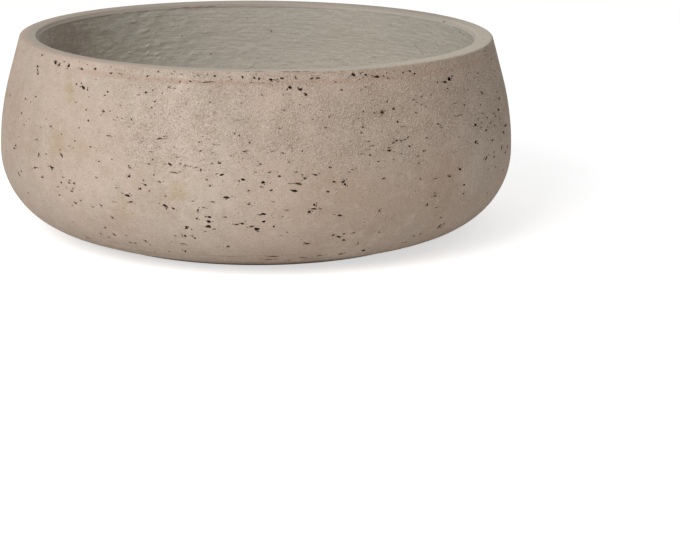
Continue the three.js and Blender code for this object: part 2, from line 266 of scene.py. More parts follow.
    (150.7, 151.7, 2.4, 0.8), (159.5, 146.9, 1.2, 0.8), (180.2, 163.7, 1.4, 1.0),
    (185.8, 165.6, 2.0, 0.8), (190.6, 166.4, 1.6, 0.8), (212.9, 152.5, 1.4, 0.7),
    (231.3, 155.7, 1.4, 0.8), (169.0, 251.4, 1.4, 0.9), (175.4, 235.8, 1.6, 0.9),
    (135.6, 243.2, 2.6, 0.8), (193.0, 201.4, 2.0, 0.8), (114.8, 201.9, 3.0, 0.7),
    (63.0, 177.2, 1.8, 0.8), (126.0, 235.2, 1.4, 0.8), (66.5, 188.0, 1.0, 0.8),
    (88.0, 238.0, 2.4, 0.8, -20),
]


def arc(centre, radius, start, end, steps):
    """Points of the section along an arc, both ends included."""
    angles = [start + (end - start) * i / steps for i in range(steps + 1)]
    return [(centre[0] + radius * math.cos(a), centre[1] + radius * math.sin(a)) for a in angles]


def straight(start, end, step):
    """Points of the section along a straight run, both ends included."""
    steps = max(1, round(math.dist(start, end) / step))
    return [tuple(a + (b - a) * i / steps for a, b in zip(start, end)) for i in range(steps + 1)]


def belly_bend(edge, run):
    """The arc that leaves the belly upright and ends where a straight run to the edge starts."""
    rise = abs(edge[1] - BELLY_HEIGHT)
    inward = BELLY_RADIUS - edge[0]
    tangent = (rise**2 + inward**2 - run**2) / (2 * (rise + run))
    angle = math.atan2(inward, rise - tangent)
    return tangent / math.tan(angle / 2), angle


def rounded(before, corner, after, radius, steps):
    """The corner of a section, rounded by an arc."""
    back = (Vector(before) - Vector(corner)).normalized()
    onward = (Vector(after) - Vector(corner)).normalized()
    half = math.acos(back.dot(onward)) / 2
    centre = Vector(corner) + (back + onward).normalized() * radius / math.sin(half)
    first = Vector(corner) + back * radius / math.tan(half) - centre
    last = Vector(corner) + onward * radius / math.tan(half) - centre
    start = math.atan2(first.y, first.x)
    turn = (math.atan2(last.y, last.x) - start + math.pi) % math.tau - math.pi
    return arc(centre, radius, start, start + turn, steps)


upper_radius, upper_angle = belly_bend((MOUTH_RADIUS, BOWL_HEIGHT), FLANK_LENGTH)
lower_radius, lower_angle = belly_bend((BASE_RADIUS, 0.0), UNDERSIDE_LENGTH)


def flank_at(height, depth):
    """The straight flank at a height, a given depth in from the outer face."""
    lean = (BOWL_HEIGHT - height) * math.tan(upper_angle)
    return (MOUTH_RADIUS - depth / math.cos(upper_angle) + lean, height)


def inside_wall(depth, step):
    """Down the inside of the wall and round on to the floor, a given depth in from outside."""
    corner_radius = BELLY_HEIGHT - (FLOOR + depth - WALL)
    upper = arc(
        (BELLY_RADIUS - upper_radius, BELLY_HEIGHT), upper_radius - depth, upper_angle, 0.0,
        max(1, round(upper_radius * upper_angle / step)),
    )
    corner = arc(
        (BELLY_RADIUS - depth - corner_radius, BELLY_HEIGHT), corner_radius, 0.0, -math.pi / 2,
        max(6, round(corner_radius * math.pi / 2 / step)),
    )
    return upper + corner[1:]


def section_mesh(name, runs):
    """A closed section to be turned. Each run has its points, how much relief and how many pits
    or lumps it gets, and its share of the texture map to a metre."""
    points, relief, dotted, along, length = [], [], [], [], []
    for run, run_relief, run_dots, run_share in runs:
        for place in run:
            gone = math.dist(points[-1], place) if points else 0.0
            if points and gone < 1e-6:
                continue
            along.append(along[-1] + gone * run_share if along else 0.0)
            length.append(length[-1] + gone if length else 0.0)
            points.append(place)
            relief.append(run_relief)
            dotted.append(run_dots)
    mesh = bpy.data.meshes.new(name)
    mesh.from_pydata([(r, 0.0, z) for r, z in points], [], [])
    for label, values in (
        ("relief", relief),
        ("dotted", dotted),
        ("along", [a / along[-1] for a in along]),
        ("length", length),
    ):
        mesh.attributes.new(label, "FLOAT", "POINT").data.foreach_set("value", values)
    return mesh


DEEPEST_MARK = 2.6  # mm


def seen_marks(name, marks, deepness=1.0):
    """Points at the camera that each aim at a mark's place in the picture, with its size. The
    higher a mark, the deeper it is."""
    marks = [(*mark, 0)[:5] for mark in marks]
    mesh = bpy.data.meshes.new(name)
    mesh.from_pydata([camera_place] * len(marks), [], [])
    for label, kind, field, values in (
        ("aim", "FLOAT_VECTOR", "vector", [aim(*mark[:2]) for mark in marks]),
        ("size", "FLOAT_VECTOR", "vector", [
            (length / 1000, height / 1000, deepness * min(0.6 * height**1.7, DEEPEST_MARK) / 1000)
            for _, _, length, height, _ in marks
        ]),
        ("tilt", "FLOAT", "value", [math.radians(tilt) for *_, tilt in marks]),
    ):
        mesh.attributes.new(label, kind, "POINT").data.foreach_set(
            field, np.ravel(np.array(values, np.float32)),
        )
    return placed(name, mesh)


tree = None  # the node tree that is being built, to which all the helpers below add


def node(kind, inputs={}, **settings):
    """A node by its kind, without the GeometryNode, ShaderNode or FunctionNode in front, with its
    settings, and its inputs linked or set, each by its name or number."""
    made = tree.nodes.new(next(
        start + kind for start in ("GeometryNode", "ShaderNode", "FunctionNode", "")
        if hasattr(bpy.types, start + kind)
    ))
    for name, value in settings.items():
        setattr(made, name, value)
    for key, value in inputs.items():
        if isinstance(key, int):
            socket = made.inputs[key]
        else:
            socket = next(s for s in made.inputs if s.name == key and s.enabled)
        for one in value if isinstance(value, list) else [value]:
            if isinstance(one, bpy.types.NodeSocket):
                tree.links.new(one, socket)
            else:
                socket.default_value = one
    return made


def out(made, name=None):
    """The output of a node by its name, or its first one."""
    return next(s for s in made.outputs if s.enabled and name in (None, s.name))


def first(kind, inputs={}, **settings):
    """The first output of a new node."""
    return out(node(kind, inputs, **settings))


def apart(vector):
    """The three parts of a vector."""
    return list(node("SeparateXYZ", {0: vector}).outputs)


def joined(x=0.0, y=0.0, z=0.0):
    """A vector from its three parts."""
    return first("CombineXYZ", {"X": x, "Y": y, "Z": z})


def maths(operation, *values):
    return first("Math", dict(enumerate(values)), operation=operation)


def product(*values):
    result = values[0]
    for value in values[1:]:
        result = maths("MULTIPLY", result, value)
    return result


def vectors(operation, *values):
    return first("VectorMath", dict(enumerate(values)), operation=operation)


def scaled(vector, factor):
    return first("VectorMath", {"Vector": vector, "Scale": factor}, operation="SCALE")


def ramped(value, low, high, to_low=0.0, to_high=1.0, way="SMOOTHSTEP"):
    """A value that goes smoothly from to_low to to_high between low and high."""
    return first(
        "MapRange",
        {"Value": value, "From Min": low, "From Max": high, "To Min": to_low, "To Max": to_high},
        interpolation_type=way,
    )


def noise(place, scale, detail=2.0, roughness=0.5, seed=0.0):
    if seed:
        place = vectors("ADD", place, (seed, seed, seed))
    return first(
        "TexNoise",
        {"Vector": place, "Scale": scale, "Detail": detail, "Roughness": roughness},
    )


def wander(place, scale, detail, roughness=0.5):
    """A vector that wanders from place to place, about (0, 0, 0)."""
    colour = out(node("TexNoise", {
        "Vector": place, "Scale": scale, "Detail": detail, "Roughness": roughness,
    }), "Color")
    return vectors("SUBTRACT", colour, (0.5, 0.5, 0.5))


def attribute(name, kind="FLOAT"):
    return first("InputNamedAttribute", {"Name": name}, data_type=kind)


def stored(geometry, name, value, kind="FLOAT", domain="POINT"):
    return first(
        "StoreNamedAttribute",
        {"Geometry": geometry, "Name": name, "Value": value}, data_type=kind, domain=domain,
    )


def moved(geometry, offset):
    return first("SetPosition", {"Geometry": geometry, "Offset": offset})


def without(points, chosen):
    return first("DeleteGeometry", {"Geometry": points, "Selection": chosen}, domain="POINT")


def shape_of(holder):
    return out(node("ObjectInfo", {"Object": holder}, transform_space="ORIGINAL"), "Geometry")


def distance_to(geometry, parts):
    return out(node("Proximity", {"Geometry": geometry}, target_element=parts), "Distance")


def carved(whole, cutters):
    return first(
        "MeshBoolean", {"Mesh 1": whole, "Mesh 2": cutters},
        operation="DIFFERENCE", solver="MANIFOLD",
    )


def random_number(low, high, seed):
    return first("RandomValue", {"Min": low, "Max": high, "Seed": seed}, data_type="FLOAT")


def set_material(geometry, material, chosen=True):
    return first("SetMaterial", {"Geometry": geometry, "Material": material, "Selection": chosen})


def new_tree(name, sizes):
    """Starts a tree of geometry nodes with named inputs for sizes, and gives these inputs."""
    global tree
    tree = bpy.data.node_groups.new(name, "GeometryNodeTree")
    tree.interface.new_socket("Geometry", in_out="INPUT", socket_type="NodeSocketGeometry")
    for label, value in sizes.items():
        kind = {int: "NodeSocketInt", float: "NodeSocketFloat"}.get(type(value))
        tree.interface.new_socket(label, in_out="INPUT", socket_type=kind or "NodeSocketObject")
    tree.interface.new_socket("Geometry", in_out="OUTPUT", socket_type="NodeSocketGeometry")
    return tree.nodes.new("NodeGroupInput").outputs


def made_by(name, mesh, sizes):
    """The plain object that the tree makes from a mesh, without the tree's empty material slots."""
    raw = placed(name + "_raw", mesh)
    modifier = raw.modifiers.new(name, "NODES")
    modifier.node_group = tree
    for item in tree.interface.items_tree:
        if item.in_out == "INPUT" and item.name in sizes:
            modifier[item.identifier] = sizes[item.name]
    graph = bpy.context.evaluated_depsgraph_get()
    done = bpy.data.meshes.new_from_object(raw.evaluated_get(graph))
    bpy.data.objects.remove(raw)
    slots = list(done.materials)
    kept = [material for material in slots if material]
    chosen = np.zeros(len(done.polygons), np.int32)
    done.polygons.foreach_get("material_index", chosen)
    done.materials.clear()
    for material in kept:
        done.materials.append(material)
    renumbered = np.array([kept.index(material) if material else 0 for material in slots])
    done.polygons.foreach_set("material_index", renumbered[np.minimum(chosen, len(slots) - 1)])
    return placed(name, done)


def turned(section, facets, rows):
    """The section turned about the upright axis, with its values and a texture map."""
    position = first("InputPosition")
    geometry = first("MeshGrid", {
        "Size X": 1.0, "Size Y": 1.0, "Vertices X": maths("ADD", facets, 1.0),
        "Vertices Y": rows,
    })
    x, y, z = apart(position)
    turn = maths("ADD", x, 0.5)
    row = maths("ROUND", product(maths("ADD", y, 0.5), maths("SUBTRACT", rows, 1.0)))

    def from_section(value, kind="FLOAT"):
        return first(
            "SampleIndex",
            {"Geometry": section, "Value": value, "Index": row}, data_type=kind,
        )

    for name in ("relief", "dotted", "along", "length"):
        geometry = stored(geometry, name, from_section(attribute(name)))
    # Each half of the turn has its own half of the map, so that it is drawn twice as fine.
    face_turn = first("FieldOnDomain", {"Value": turn}, data_type="FLOAT", domain="FACE")
    half = maths("FLOOR", product(2.0, face_turn))
    across = maths("SUBTRACT", product(turn, 2.0), half)
    along = ramped(attribute("along"), 0.0, 1.0, 0.01, 0.99, "LINEAR")
    up = maths("DIVIDE", maths("ADD", half, along), 2.0)
    geometry = stored(geometry, "OFBake", joined(across, up), "FLOAT2", "CORNER")
    spun = first(
        "VectorRotate",
        {"Vector": from_section(position, "FLOAT_VECTOR"), "Angle": product(turn, math.tau)},
        rotation_type="Z_AXIS",
    )
    geometry = first("SetPosition", {"Geometry": geometry, "Position": spun})
    return first("MergeByDistance", {"Geometry": geometry, "Distance": 1e-6})


def pushed(geometry, amount):
    """Moves a surface out along its normal."""
    return moved(geometry, scaled(first("InputNormal"), amount))


def where_seen(marks, surface):
    """Marks set on a surface where the camera sees them. Each is made as much longer and higher
    as the face there turns away from the camera."""
    position = first("InputPosition")
    points = first("MeshToPoints", {"Mesh": shape_of(marks)})
    struck = node("Raycast", {
        "Target Geometry": surface,
        "Source Position": position,
        "Ray Direction": attribute("aim", "FLOAT_VECTOR"),
        "Ray Length": 3.0,
    })
    points = stored(points, "facing", out(struck, "Hit Normal"), "FLOAT_VECTOR")
    points = stored(points, "missed", maths("SUBTRACT", 1.0, out(struck, "Is Hit")))
    points = first("SetPosition", {"Geometry": points, "Position": out(struck, "Hit Position")})
    points = without(points, attribute("missed"))
    level, upward = level_and_upward()
    seen_part = [
        maths("MAXIMUM", 0.4, maths("ABSOLUTE", vectors(
            "DOT_PRODUCT", direction, tuple(camera_turn.col[axis]),
        )))
        for axis, direction in enumerate((level, upward))
    ]
    size = vectors("DIVIDE", attribute("size", "FLOAT_VECTOR"), joined(*seen_part, 1.0))
    return stored(points, "size", size, "FLOAT_VECTOR")


def level_and_upward():
    """The level direction along a surface, and the one that climbs it."""
    position = first("InputPosition")
    level = vectors("NORMALIZE", vectors("CROSS_PRODUCT", (0.0, 0.0, 1.0), position))
    facing = attribute("facing", "FLOAT_VECTOR")
    return level, vectors("CROSS_PRODUCT", facing, level)


def strewn(surface, spacing, most, share, seed):
    """Points strewn over a surface, with the way that it faces there."""
    scatter = node(
        "DistributePointsOnFaces",
        {
            "Mesh": surface, "Distance Min": spacing, "Density Max": most,
            "Density Factor": share, "Seed": seed,
        },
        distribute_method="POISSON",
    )
    return stored(out(scatter, "Points"), "facing", out(scatter, "Normal"), "FLOAT_VECTOR")


def laid(points, pebble, sunk):
    """Pebbles laid level on their points, sunk by a share of their depth."""
    facing = attribute("facing", "FLOAT_VECTOR")
    level, _ = level_and_upward()
    turn = first(
        "AxesToRotation", {"Primary Axis": facing, "Secondary Axis": level},
        primary_axis="Z", secondary_axis="X",
    )
    tilt = first("AxisAngleToRotation", {"Axis": (0.0, 0.0, 1.0), "Angle": attribute("tilt")})
    turn = first("RotateRotation", {"Rotation": turn, "Rotate By": tilt}, rotation_space="LOCAL")
    points = stored(points, "lying", turn, "QUATERNION")
    size = attribute("size", "FLOAT_VECTOR")
    _, _, depth = apart(size)
    points = moved(points, scaled(facing, product(depth, -sunk)))
    return first(
        "InstanceOnPoints",
        {
            "Points": points, "Instance": pebble, "Pick Instance": True,
            "Rotation": attribute("lying", "QUATERNION"), "Scale": size,
        },
    )


def crumbs_round(points, amount):
    """A few smaller points round each point, further out along the level than upright."""
    copies = node("DuplicateElements", {"Geometry": points, "Amount": amount}, domain="POINT")
    level, upward = level_and_upward()
    size = attribute("size", "FLOAT_VECTOR")
    length, height, _ = apart(size)
    aside = scaled(level, product(length, random_number(-0.95, 0.95, 11)))
    above = scaled(upward, product(height, random_number(-0.8, 0.8, 12)))
    around = moved(out(copies, "Geometry"), vectors("ADD", aside, above))
    share = joined(
        random_number(0.25, 0.7, 13), random_number(0.25, 0.6, 14), random_number(0.2, 0.6, 15),
    )
    return stored(around, "size", vectors("MULTIPLY", size, share), "FLOAT_VECTOR")


def uneven_pebbles(material, segments, rings, shapes=4, unevenness=0.55):
    """A few uneven pebbles, 1 across, to pick from."""
    position = first("InputPosition")
    pebbles = []
    for shape in range(shapes):
        sphere = first("MeshUVSphere", {"Segments": segments, "Rings": rings, "Radius": 0.5})
        bumps = wander(vectors("ADD", position, (3.0 * shape, 0.0, 0.0)), 2.2, 1.0)
        pebble = set_material(moved(sphere, scaled(bumps, unevenness)), material)
        pebbles.append(first("GeometryToInstance", {"Geometry": [pebble]}))
    return first("JoinGeometry", {"Geometry": pebbles})


def map_carried(geometry, source):
    """The texture map of a surface, carried over to what was cut from it or joined to it."""
    position = first("InputPosition")
    face_middle = first(
        "FieldOnDomain", {"Value": position}, data_type="FLOAT_VECTOR", domain="FACE",
    )
    nudge = scaled(vectors("SUBTRACT", face_middle, position), 0.03)
    on_map = first(
        "SampleNearestSurface",
        {
            "Mesh": source, "Value": attribute("OFBake", "FLOAT_VECTOR"),
            "Sample Position": vectors("ADD", position, nudge),
        },
        data_type="FLOAT_VECTOR",
    )
    return stored(geometry, "OFBake", on_map, "FLOAT2", "CORNER")


def smooth_but_for(geometry, angle):
    """Shaded smooth, but for edges sharper than an angle."""
    geometry = first("SetShadeSmooth", {"Geometry": geometry}, domain="FACE")
    edge_angle = out(node("InputMeshEdgeAngle"), "Unsigned Angle")
    sharp = maths("GREATER_THAN", edge_angle, math.radians(angle))
    return first(
        "SetShadeSmooth",
        {"Geometry": geometry, "Selection": sharp, "Shade Smooth": False}, domain="EDGE",
    )


lip_outer = (MOUTH_RADIUS, BOWL_HEIGHT)
lip_inner = flank_at(BOWL_HEIGHT, WALL)
dish_edge = (RECESS_RADIUS, 0.0)
dish_foot = (RECESS_RADIUS - RECESS_SLOPE, RECESS_DEPTH)
base_edge = (BASE_RADIUS, 0.0)
lower_arc = arc(
    (BELLY_RADIUS - lower_radius, BELLY_HEIGHT), lower_radius, -lower_angle, 0.0,
    round(lower_radius * lower_angle / SHELL_STEP * 1.2),
)
upper_arc = arc(
    (BELLY_RADIUS - upper_radius, BELLY_HEIGHT), upper_radius, 0.0, upper_angle,
    round(upper_radius * upper_angle / SHELL_STEP),
)
inside = inside_wall(WALL, HIDDEN_STEP)
base_round = rounded(dish_edge, base_edge, lower_arc[0], BASE_EDGE_ROUND, 5)
outer_round = rounded(upper_arc[-1], lip_outer, lip_inner, LIP_OUTER_ROUND, 6)
inner_round = rounded(lip_outer, lip_inner, inside[0], LIP_INNER_ROUND, 5)
hole = [
    (DRAIN_RADIUS + DRAIN_CHAMFER, FLOOR), (DRAIN_RADIUS, FLOOR - DRAIN_CHAMFER),
    (DRAIN_RADIUS, RECESS_DEPTH + DRAIN_CHAMFER), (DRAIN_RADIUS + DRAIN_CHAMFER, RECESS_DEPTH),
]
shell_section = section_mesh("shell_section", [
    (hole[2:], 0.0, 0.0, 1.0),
    (straight(hole[3], dish_foot, 0.008), 0.6, 0.35, 0.5),
    (straight(dish_foot, dish_edge, 0.002), 0.0, 0.2, 1.0),
    (straight(dish_edge, base_round[0], 0.006), 0.0, 0.3, 1.0),
    (base_round, 0.0, 0.3, 2.0),
    (straight(base_round[-1], lower_arc[0], SHELL_STEP)[1:], 1.0, 0.8, 2.5),
    (lower_arc, 1.0, 0.8, 2.5),
    (upper_arc, 1.0, 0.7, 2.5),
    (straight(upper_arc[-1], outer_round[0], SHELL_STEP), 1.0, 1.0, 2.5),
    (outer_round[1:], 0.3, 0.2, 2.5),
    (straight(outer_round[-1], inner_round[0], 0.0024), 0.3, 0.1, 2.5),
    (inner_round[1:], 0.0, 0.0, 2.5),
    (straight(inner_round[-1], inside[0], HIDDEN_STEP)[1:], 0.0, 0.0, 0.2),
    (inside, 0.0, 0.0, 0.2),
    (straight(inside[-1], hole[0], 0.06), 0.0, 0.0, 0.2),
    (hole[:3], 0.0, 0.0, 1.0),
])
notable_pits = seen_marks("notable_pits", PITS)
SHELL_SIZES["Rows"] = len(shell_section.vertices)
SHELL_SIZES["Notable pits"] = notable_pits

# Materials of the shell: the washed face, and the pits' dirt with painted shade deeper in.
CEMENT_PINK = (0.580, 0.460, 0.375, 1.0)
CEMENT_GREY = (0.540, 0.450, 0.367, 1.0)
CEMENT_PALE = (0.720, 0.600, 0.505, 1.0)
CEMENT_TAN = (0.465, 0.350, 0.262, 1.0)
CEMENT_OCHRE = (0.470, 0.360, 0.225, 1.0)
CEMENT_RED = (0.520, 0.370, 0.285, 1.0)
CEMENT_BROWN = (0.215, 0.150, 0.108, 1.0)
CEMENT_LIP = (0.600, 0.480, 0.395, 1.0)
LIP_SMEAR = (0.600, 0.545, 0.470, 1.0)
LIP_SMEAR_LEFT = (0.510, 0.450, 0.385, 1.0)
LIP_SMEAR_RIGHT = (0.680, 0.615, 0.515, 1.0)
PIT_RIM = (0.250, 0.180, 0.130, 1.0)
PIT_SHADED_DEPTH = (0.026, 0.018, 0.013, 1.0)
LIP_FACE = BOWL_HEIGHT - 0.0004
LIP_LINE_HEIGHT = 0.1272  # of the reddish line under the lip
SMEAR_EDGE_LEFT = 0.1575  # how far out the slurry was wiped over the lip
SMEAR_EDGE_RIGHT = 0.1625

# Stains and washed-out patches: the middle and the reach of each in mm, its colour and how strong
STAINS = [
    (-119, -119, 116, 6, CEMENT_OCHRE, 0.80), (-119, -121, 111, 6, CEMENT_OCHRE, 0.65),
    (-128, -122, 80, 14, CEMENT_OCHRE, 0.50), (-111, -137, 81, 12, CEMENT_OCHRE, 0.40),
    (-45, -171, 62, 7, CEMENT_OCHRE, 0.85), (-50, -170, 60, 6, CEMENT_OCHRE, 0.85),
    (-54, -169, 56, 4, CEMENT_OCHRE, 0.85),
    (-84, -155, 45, 12, CEMENT_OCHRE, 0.50), (-86, -148, 34, 18, CEMENT_RED, 0.50),
    (-102, -131, 122, 18, CEMENT_GREY, 0.9), (-86, -140, 124, 14, CEMENT_GREY, 0.8),
    (-53, -167, 85, 13, CEMENT_GREY, 0.9), (-35, -173, 64, 11, CEMENT_GREY, 0.7),
    (-173, -34, 96, 12, CEMENT_TAN, 0.8), (67, -164, 54, 26, CEMENT_TAN, 0.75),
    (118, -132, 59, 20, CEMENT_RED, 0.6), (152, -86, 70, 26, CEMENT_GREY, 0.8),
    (45, -172, 58, 22, CEMENT_TAN, 0.55), (-58, -162, 98, 34, CEMENT_PALE, 0.40),
    (-38, -170, 76, 34, CEMENT_PALE, 0.35), (90, -150, 54, 24, CEMENT_TAN, 0.50),
    (78, -151, 107, 3, CEMENT_BROWN, 0.9),
    (-163, -62, 94, 24, CEMENT_TAN, 0.7), (-163, -69, 70, 22, CEMENT_TAN, 0.4),
    (-149, -94, 77, 22, CEMENT_TAN, 0.45), (33, -174, 62, 28, CEMENT_TAN, 0.35),
    (117, -133, 53, 24, CEMENT_TAN, 0.60), (-62, -165, 62, 24, CEMENT_TAN, 0.30),
    (138, -105, 84, 26, CEMENT_PALE, 0.30), (-101, -145, 59, 26, CEMENT_PALE, 0.20),
    (-72, -152, 30, 22, CEMENT_PALE, 0.10), (-32, -158, 33, 26, CEMENT_PALE, 0.30),
    (-60, -141, 16, 20, CEMENT_PALE, 0.22), (-54, -158, 111, 24, CEMENT_PALE, 0.35),
    (59, -146, 15, 22, CEMENT_PALE, 0.50), (140, -109, 55, 18, CEMENT_PALE, 0.30),
]


def new_material(name, roughness, specular):
    """Starts a material: itself, its shader and the place on the piece that patterns read."""
    global tree
    material = bpy.data.materials.new(name)
    material.use_nodes = True
    tree = material.node_tree
    shader = tree.nodes["Principled BSDF"]
    shader.inputs["Roughness"].default_value = roughness
    shader.inputs["Specular IOR Level"].default_value = specular
    return material, shader, out(node("TexCoord"), "Object")


def blended(factor, under, over):
    """One colour over another."""
    return first("Mix", {"Factor": factor, "A": under, "B": over}, data_type="RGBA")


def stretched(place, across, up):
    """Places that lie closer together by these factors, level and upright."""
    return vectors("MULTIPLY", place, (across, across, up))


def specks(place, cells, share, radius):
    """1 inside round specks, one in each of a share of the cells, else 0."""
    cell = node("TexVoronoi", {"Vector": place, "Scale": cells})
    pick = node("SeparateColor", {"Color": out(cell, "Color")})
    size = product(out(pick, "Green"), radius)
    inside = maths("SUBTRACT", size, out(cell, "Distance"))
    spot = ramped(inside, 0.0, 0.05)
    return product(spot, maths("LESS_THAN", out(pick, "Red"), share))


def finished(shader, colour, *layers):
    """Gives a material its colour and its relief, from the coarsest layer to the finest, each by
    its pattern and how many metres high it is."""
    tree.links.new(colour, shader.inputs["Base Color"])
    normal = None
    for height, metres in layers:
        inputs = {"Height": height, "Distance": metres, "Strength": 1.0}
        if normal:
            inputs["Normal"] = normal
        normal = first("Bump", inputs)
    tree.links.new(normal, shader.inputs["Normal"])


def patched_over(colour, place, stains):
    """A colour with soft-edged patches over it: stains and tone on the shell, tone and painted
    shade on the coat.
    """
    edges = wander(place, 130.0, 4.0, 0.65)
    for x, y, z, reach, stain, strength in stains:
        ragged = vectors("ADD", place, scaled(edges, reach / 400))
        away = vectors("DISTANCE", ragged, (x / 1000, y / 1000, z / 1000))
        cover = ramped(away, reach / 850, reach / 5000, 0.0, strength)
        colour = blended(cover, colour, stain)
    return colour


cement, shader, place = new_material("washed_cement", 0.9, 0.2)
x, y, z = apart(place)
radius = vectors("LENGTH", vectors("MULTIPLY", place, (1.0, 1.0, 0.0)))
outside = ramped(radius, MOUTH_RADIUS - 0.006, MOUTH_RADIUS - 0.005)
outside = maths("MAXIMUM", outside, ramped(z, 0.122, 0.120))
below_lip = product(ramped(z, LIP_FACE + 0.0003, LIP_FACE - 0.0003), outside)
mottle = noise(place, 14.0, 4.0, 0.6)
blotch = noise(place, 55.0, 5.0, 0.65, 3.0)
sand = noise(place, 1000.0, 2.0, 0.55)
grit = noise(place, 2600.0, 1.0, 0.5)
dashes = noise(stretched(place, 420.0, 900.0), 1.0, 3.0, 0.65)
rough = product(
    ramped(x, -0.125, -0.065), ramped(z, 0.050, 0.090), ramped(blotch, 0.30, 0.55, 0.5, 1.0),
)
rough = maths("MAXIMUM", 0.35, rough)
rough = maths("ADD", rough, ramped(x, 0.09, 0.14, 0.0, 0.15))
rough = product(rough, below_lip)

colour = blended(ramped(mottle, 0.44, 0.58), CEMENT_GREY, CEMENT_PINK)
to_right = ramped(x, 0.0, 0.07, 0.0, 0.30)
tan = maths("ADD", to_right, ramped(blotch, 0.48, 0.74, 0.0, 0.45))
colour = blended(tan, colour, CEMENT_TAN)
colour = patched_over(colour, place, STAINS)
cloud = noise(place, 150.0, 5.0, 0.65, 5.0)
colour = blended(ramped(cloud, 0.50, 0.72, 0.0, 0.45), colour, CEMENT_TAN)
colour = blended(ramped(cloud, 0.48, 0.30, 0.0, 0.35), colour, CEMENT_PALE)
line_height = maths("ABSOLUTE", maths("SUBTRACT", z, LIP_LINE_HEIGHT))
lip_line = product(
    ramped(line_height, 0.0026, 0.0004), ramped(x, -0.125, -0.10),
    ramped(dashes, 0.40, 0.55, 0.55, 1.0),
)
colour = blended(lip_line, colour, CEMENT_RED)
streak = noise(stretched(place, 26.0, 420.0), 1.0, 3.0, 0.6)
low_down = ramped(z, 0.026, 0.006)
streaky = product(low_down, ramped(streak, 0.5, 0.68, 0.10, 0.55))
colour = blended(streaky, colour, CEMENT_BROWN)
worn = product(ramped(dashes, 0.56, 0.68, 0.0, 0.6), rough)
colour = blended(worn, colour, CEMENT_BROWN)
colour = blended(product(ramped(sand, 0.54, 0.36, 0.0, 0.62), rough), colour, CEMENT_TAN)
pin_holes = specks(stretched(place, 1.0, 1.5), 330.0, 0.20, 0.20)
fine_holes = specks(stretched(place, 1.0, 1.7), 700.0, 0.26, 0.30)
pale = product(ramped(sand, 0.52, 0.68, 0.0, 0.75), rough)
colour = blended(pale, colour, CEMENT_PALE)
holes = maths("MAXIMUM", pin_holes, product(fine_holes, rough))
holes = product(holes, below_lip)
colour = blended(product(holes, 0.75), colour, CEMENT_BROWN)
smear = blended(ramped(x, -0.12, 0.04), LIP_SMEAR_LEFT, LIP_SMEAR)
smear = blended(ramped(x, 0.05, 0.11), smear, LIP_SMEAR_RIGHT)
smear = blended(ramped(y, 0.02, 0.10), smear, LIP_SMEAR_LEFT)
smear_edge = ramped(x, -0.06, 0.05, SMEAR_EDGE_LEFT, SMEAR_EDGE_RIGHT)
smear_edge = maths("ADD", smear_edge, ramped(blotch, 0.3, 0.7, -0.0012, 0.0012))
wiped = maths("SUBTRACT", smear_edge, radius)
lip = blended(ramped(wiped, -0.0004, 0.0004), CEMENT_LIP, smear)
lip = blended(ramped(sand, 0.55, 0.35, 0.0, 0.35), lip, CEMENT_TAN)
colour = blended(below_lip, lip, colour)
finished(
    shader, colour, (product(dashes, rough, -1.0), 0.0009), (product(sand, rough), 0.0009),
    (grit, 0.00012), (product(holes, -1.0), 0.0004),
)

pit_dirt_and_shade, shader, place = new_material("pit_dirt_and_shade", 0.95, 0.1)
below = out(node("Attribute", attribute_name="depth"), "Fac")
grain = noise(place, 900.0, 3.0, 0.6)
# Painted shade: deeper in a pit, the colour goes from the rim's dirt brown to near black.
colour = blended(ramped(below, 0.0001, 0.0009), PIT_RIM, PIT_SHADED_DEPTH)
colour = blended(ramped(grain, 0.45, 0.75, 0.0, 0.4), colour, CEMENT_BROWN)
finished(shader, colour, (grain, 0.0003))

# The tree that turns the shell and cuts its pits
given = new_tree("pitted_shell", SHELL_SIZES)
uncut = turned(given["Geometry"], given["Facets"], given["Rows"])
position = first("InputPosition")
wave = noise(position, given["Relief waves"], 3.0)
uncut = pushed(uncut, product(wave, attribute("relief"), given["Relief depth"], -1.0))
uncut = set_material(uncut, cement)

# Pits anywhere: more of them where the noise clusters them and where the section says, longer ones
# on the side away from the camera, and none across the joins of the texture map
crowd = ramped(noise(position, given["Pit clusters"], 3.0), 0.42, 0.68, 0.05, 1.0)
x, y, z = apart(position)
crowd = maths("ADD", crowd, product(ramped(x, 0.105, 0.150, 0.0, 0.5), ramped(z, 0.070, 0.095)))
off_join = maths("GREATER_THAN", maths("ABSOLUTE", y), JOIN_MARGIN)
anywhere = strewn(
    uncut, given["Pit spacing"], given["Pits to a square metre"],
    product(crowd, attribute("dotted"), off_join), given["Seed"],
)
behind = ramped(y, -0.05, 0.03)
spread = maths("POWER", random_number(0.0, 1.0, 1), maths("SUBTRACT", 3.0, product(behind, 1.7)))
length = ramped(spread, 0.0, 1.0, given["Shortest pit"], given["Longest pit"], "LINEAR")
length = product(length, ramped(behind, 0.0, 1.0, 1.0, 1.25))
height = product(length, random_number(0.3, 0.8, 2))
size = joined(length, height, product(height, random_number(0.25, 1.1, 4)))
anywhere = stored(anywhere, "size", size, "FLOAT_VECTOR")
anywhere = stored(anywhere, "tilt", random_number(-0.3, 0.3, 3))
notable = where_seen(given["Notable pits"], uncut)
near = maths("LESS_THAN", distance_to(notable, "POINTS"), PIT_CLEARANCE)
anywhere = without(anywhere, near)
small = first("JoinGeometry", {
    "Geometry": [anywhere, crumbs_round(notable, given["Crumbs round a pit"])],
})
cutters = [
    laid(small, uneven_pebbles(pit_dirt_and_shade, 6, 4), 0.2),
    laid(notable, uneven_pebbles(pit_dirt_and_shade, 9, 6, 6, 0.9), 0.2),
]
below = distance_to(uncut, "FACES")
cut = stored(carved(uncut, cutters), "depth", below)
cut = map_carried(cut, uncut)
cut = smooth_but_for(cut, 32)
